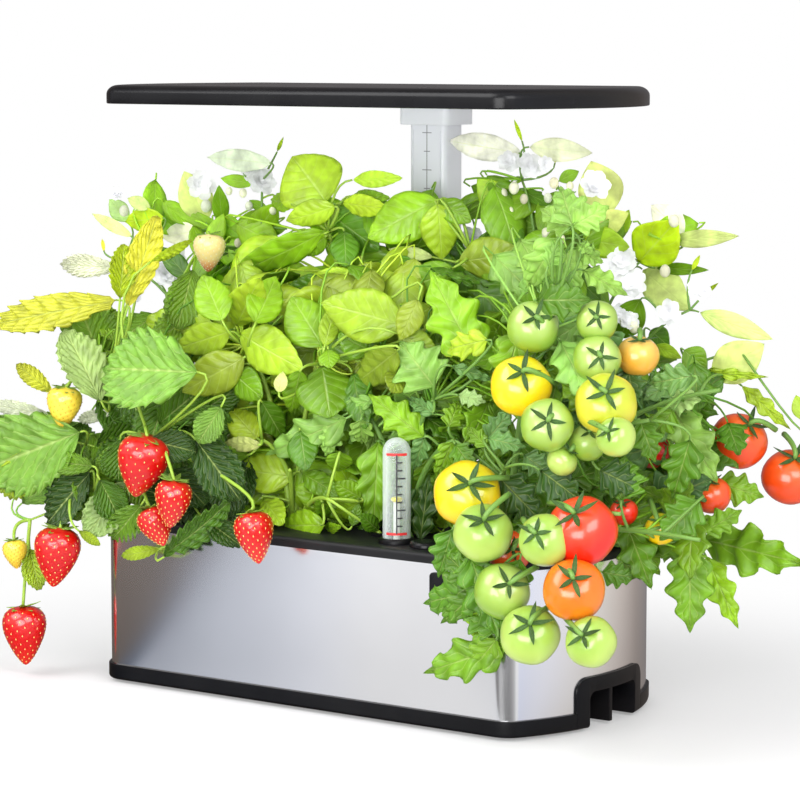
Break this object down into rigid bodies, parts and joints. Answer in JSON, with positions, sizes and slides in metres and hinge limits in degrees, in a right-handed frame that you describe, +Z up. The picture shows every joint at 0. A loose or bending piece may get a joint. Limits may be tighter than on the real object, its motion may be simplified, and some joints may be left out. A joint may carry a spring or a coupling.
{
  "type": "countertop hydroponic garden",
  "caption": "Steel-wrapped water base with planted pods and a float gauge, under a panel lamp that slides on a telescopic post.",
  "frame": {"origin": "on the table, under the middle of the base, which is also the middle of the plants' reach", "axes": "+X along the length towards the control panel, -Y towards the user, +Z up"},
  "size_m": [0.6, 0.268, 0.4034],
  "materials": {
    "black_gloss": "satin to gloss moulded black plastic",
    "black_matte": "fine textured black plastic",
    "steel_sheet": "satin stainless sheet",
    "grey_plastic": "light silver-grey plastic",
    "white_plastic": "white plastic",
    "clear_plastic": "clear moulded plastic",
    "yellow_plastic": "yellow plastic",
    "foot_rubber": "soft black rubber",
    "sponge_foam": "open-cell growing sponge",
    "circuit_board": "green circuit board",
    "board_metal": "aluminium lamp board",
    "strawberry_leaf": "pleated green leaf, with red fruit",
    "basil_leaf": "glossy yellow-green leaf",
    "tomato_leaf": "blue-green leaf, with round fruit",
    "jasmine_leaf": "pale green leaf, with white flowers"
  },
  "bodies": {
    "base": {"base_plinth": "black_gloss", "foot_1": "foot_rubber", "foot_2": "foot_rubber", "foot_3": "foot_rubber", "foot_4": "foot_rubber", "handle_frame_right": "black_gloss", "handle_frame_left": "black_gloss", "steel_wrap": "steel_sheet", "water_tank": "black_matte", "grow_deck": "black_matte", "pod_basket_1": "black_gloss", "pod_basket_2": "black_gloss", "pod_basket_3": "black_gloss", "pod_basket_4": "black_gloss", "pod_basket_5": "black_gloss", "pod_basket_6": "black_gloss", "pod_basket_7": "black_gloss", "pod_basket_8": "black_gloss", "grow_sponge_1": "sponge_foam", "grow_sponge_2": "sponge_foam", "grow_sponge_3": "sponge_foam", "grow_sponge_4": "sponge_foam", "grow_sponge_5": "sponge_foam", "grow_sponge_6": "sponge_foam", "grow_sponge_7": "sponge_foam", "grow_sponge_8": "sponge_foam", "gauge_tube": "clear_plastic", "gauge_collar": "black_gloss", "post_dock": "black_gloss", "post_sleeve": "grey_plastic", "sleeve_ring": "grey_plastic", "control_panel": "black_gloss", "control_board": "circuit_board", "power_jack": "black_matte", "pump_body": "black_matte", "pump_cover": "black_gloss", "pump_outlet": "clear_plastic", "strawberry_plant": "strawberry_leaf", "basil_plant_left": "basil_leaf", "tomato_plant_middle": "tomato_leaf", "tomato_plant_right": "tomato_leaf", "jasmine_plant_left": "jasmine_leaf", "basil_plant_back": "basil_leaf", "basil_plant_right": "basil_leaf", "jasmine_plant_right": "jasmine_leaf"},
    "lamp_head": {"post_pole": "grey_plastic", "lamp_bracket": "grey_plastic", "lamp_shell": "black_gloss", "lamp_diffuser": "white_plastic", "led_board": "board_metal", "driver_board": "circuit_board"},
    "float": {"float_stick": "white_plastic", "float_tip": "yellow_plastic", "float_block": "white_plastic"},
    "cap": {"fill_cap": "black_gloss"},
    "light_button": {"button_light": "grey_plastic"},
    "mode_button": {"button_mode": "grey_plastic"},
    "pump_button": {"button_pump": "grey_plastic"},
    "rotor": {"pump_impeller": "white_plastic"}
  },
  "joints": [
    {"name": "lamp_height", "type": "slide", "parent": "base", "child": "lamp_head", "axis": [0, 0, 1], "range_m": [-0.13, 0], "deforming": ["strawberry_plant", "basil_plant_left", "tomato_plant_middle", "tomato_plant_right", "jasmine_plant_left", "basil_plant_back", "basil_plant_right", "jasmine_plant_right"]},
    {"name": "water_level", "type": "slide", "parent": "base", "child": "float", "axis": [0, 0, 1], "range_m": [-0.0225, 0.0285]},
    {"name": "cap_lift", "type": "slide", "parent": "base", "child": "cap", "axis": [0, 0, 1], "range_m": [0, 0.012]},
    {"name": "light_press", "type": "slide", "parent": "base", "child": "light_button", "axis": [0, 1, 0], "range_m": [0, 0.0008], "stiffness_N_per_m": 600},
    {"name": "mode_press", "type": "slide", "parent": "base", "child": "mode_button", "axis": [0, 1, 0], "range_m": [0, 0.0008], "stiffness_N_per_m": 600},
    {"name": "pump_press", "type": "slide", "parent": "base", "child": "pump_button", "axis": [0, 1, 0], "range_m": [0, 0.0008], "stiffness_N_per_m": 600},
    {"name": "rotor_spin", "type": "hinge", "parent": "base", "child": "rotor", "pos_m": [0, -0.0055, 0.0205], "axis": [0, 1, 0], "continuous": true}
  ]
}
